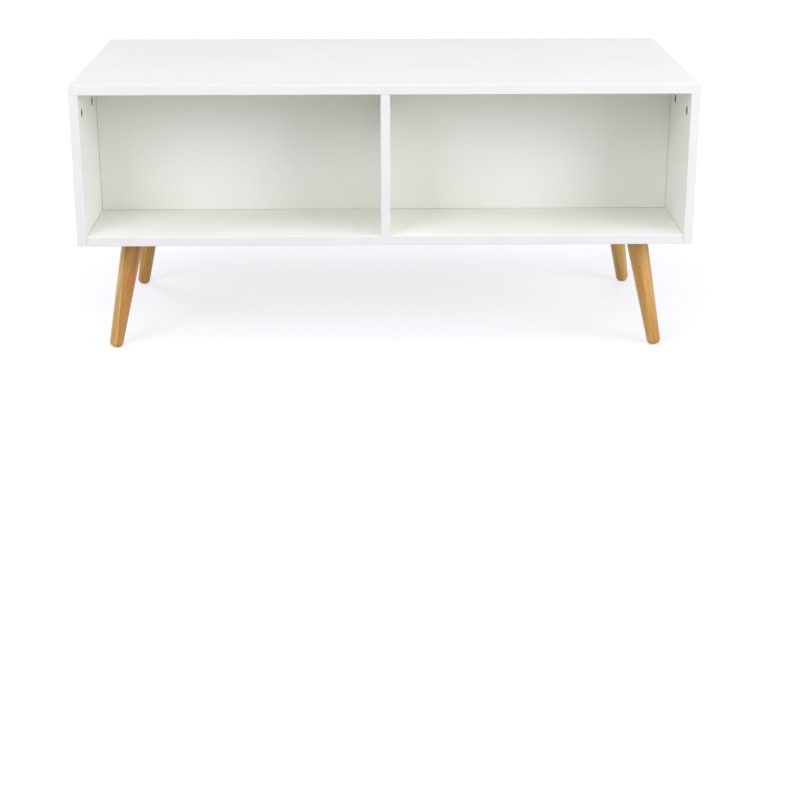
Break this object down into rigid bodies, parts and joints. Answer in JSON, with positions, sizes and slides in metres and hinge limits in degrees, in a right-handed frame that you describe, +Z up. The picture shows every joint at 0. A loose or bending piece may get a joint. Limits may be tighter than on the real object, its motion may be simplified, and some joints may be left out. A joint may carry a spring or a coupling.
{
  "type": "coffee table",
  "caption": "Low white coffee table: open front compartments either side of a divider, a closed plain back, turning cam locks and splayed tapered wooden legs on angled plates.",
  "frame": {"origin": "on the floor under the middle of the table", "axes": "+X to the right seen from the open front, +Y to the back, +Z up"},
  "size_m": [1, 0.5, 0.45],
  "materials": {
    "white_melamine_board": "white melamine faces on chipboard, fine satin texture",
    "white_rear_panel": "white lacquered fibreboard, satin",
    "white_edge_band": "white plastic edge band, satin",
    "lacquered_wood": "honey coloured hardwood, clear satin lacquer",
    "zinc_plated_plate": "pressed steel, zinc plated",
    "beech_dowel": "plain beech, fluted and unfinished",
    "zinc_plated_steel": "zinc plated steel",
    "die_cast_zinc_cam": "dull grey die cast zinc alloy"
  },
  "bodies": {
    "carcass": {"top_panel": "white_melamine_board", "left_side_panel": "white_melamine_board", "right_side_panel": "white_melamine_board", "bottom_panel": "white_melamine_board", "centre_divider": "white_melamine_board", "compartment_back": "white_melamine_board", "rear_panel": "white_rear_panel", "top_edge_bands": "white_edge_band", "left_side_edge_bands": "white_edge_band", "right_side_edge_bands": "white_edge_band", "bottom_edge_bands": "white_edge_band", "divider_edge_band": "white_edge_band", "left_front_leg": "lacquered_wood", "left_rear_leg": "lacquered_wood", "right_front_leg": "lacquered_wood", "right_rear_leg": "lacquered_wood", "left_front_leg_plate": "zinc_plated_plate", "left_rear_leg_plate": "zinc_plated_plate", "right_front_leg_plate": "zinc_plated_plate", "right_rear_leg_plate": "zinc_plated_plate", "top_dowels": "beech_dowel", "base_dowels": "beech_dowel", "compartment_back_dowels": "beech_dowel", "divider_dowels": "beech_dowel", "hanger_bolts": "zinc_plated_steel", "plate_screws": "zinc_plated_steel", "base_screws": "zinc_plated_steel", "top_cam_bolts": "zinc_plated_steel", "base_cam_bolts": "zinc_plated_steel"},
    "left_front_cam": {"left_front_cam": "die_cast_zinc_cam"},
    "left_rear_cam": {"left_rear_cam": "die_cast_zinc_cam"},
    "right_front_cam": {"right_front_cam": "die_cast_zinc_cam"},
    "right_rear_cam": {"right_rear_cam": "die_cast_zinc_cam"},
    "base_left_front_cam": {"base_left_front_cam": "die_cast_zinc_cam"},
    "base_left_rear_cam": {"base_left_rear_cam": "die_cast_zinc_cam"},
    "base_right_front_cam": {"base_right_front_cam": "die_cast_zinc_cam"},
    "base_right_rear_cam": {"base_right_rear_cam": "die_cast_zinc_cam"}
  },
  "joints": [
    {"name": "left_front_cam_turn", "type": "hinge", "parent": "carcass", "child": "left_front_cam", "pos_m": [-0.4854, -0.214, 0.401], "axis": [1, 0, 0], "range_deg": [0, 180]},
    {"name": "left_rear_cam_turn", "type": "hinge", "parent": "carcass", "child": "left_rear_cam", "pos_m": [-0.4854, -0.105, 0.401], "axis": [1, 0, 0], "range_deg": [0, 180]},
    {"name": "right_front_cam_turn", "type": "hinge", "parent": "carcass", "child": "right_front_cam", "pos_m": [0.4854, -0.214, 0.401], "axis": [-1, 0, 0], "range_deg": [0, 180]},
    {"name": "right_rear_cam_turn", "type": "hinge", "parent": "carcass", "child": "right_rear_cam", "pos_m": [0.4854, -0.105, 0.401], "axis": [-1, 0, 0], "range_deg": [0, 180]},
    {"name": "base_left_front_cam_turn", "type": "hinge", "parent": "carcass", "child": "base_left_front_cam", "pos_m": [-0.451, -0.21, 0.1904], "axis": [0, 0, -1], "range_deg": [0, 180]},
    {"name": "base_left_rear_cam_turn", "type": "hinge", "parent": "carcass", "child": "base_left_rear_cam", "pos_m": [-0.451, 0.21, 0.1904], "axis": [0, 0, -1], "range_deg": [0, 180]},
    {"name": "base_right_front_cam_turn", "type": "hinge", "parent": "carcass", "child": "base_right_front_cam", "pos_m": [0.451, -0.21, 0.1904], "axis": [0, 0, -1], "range_deg": [0, 180]},
    {"name": "base_right_rear_cam_turn", "type": "hinge", "parent": "carcass", "child": "base_right_rear_cam", "pos_m": [0.451, 0.21, 0.1904], "axis": [0, 0, -1], "range_deg": [0, 180]}
  ]
}
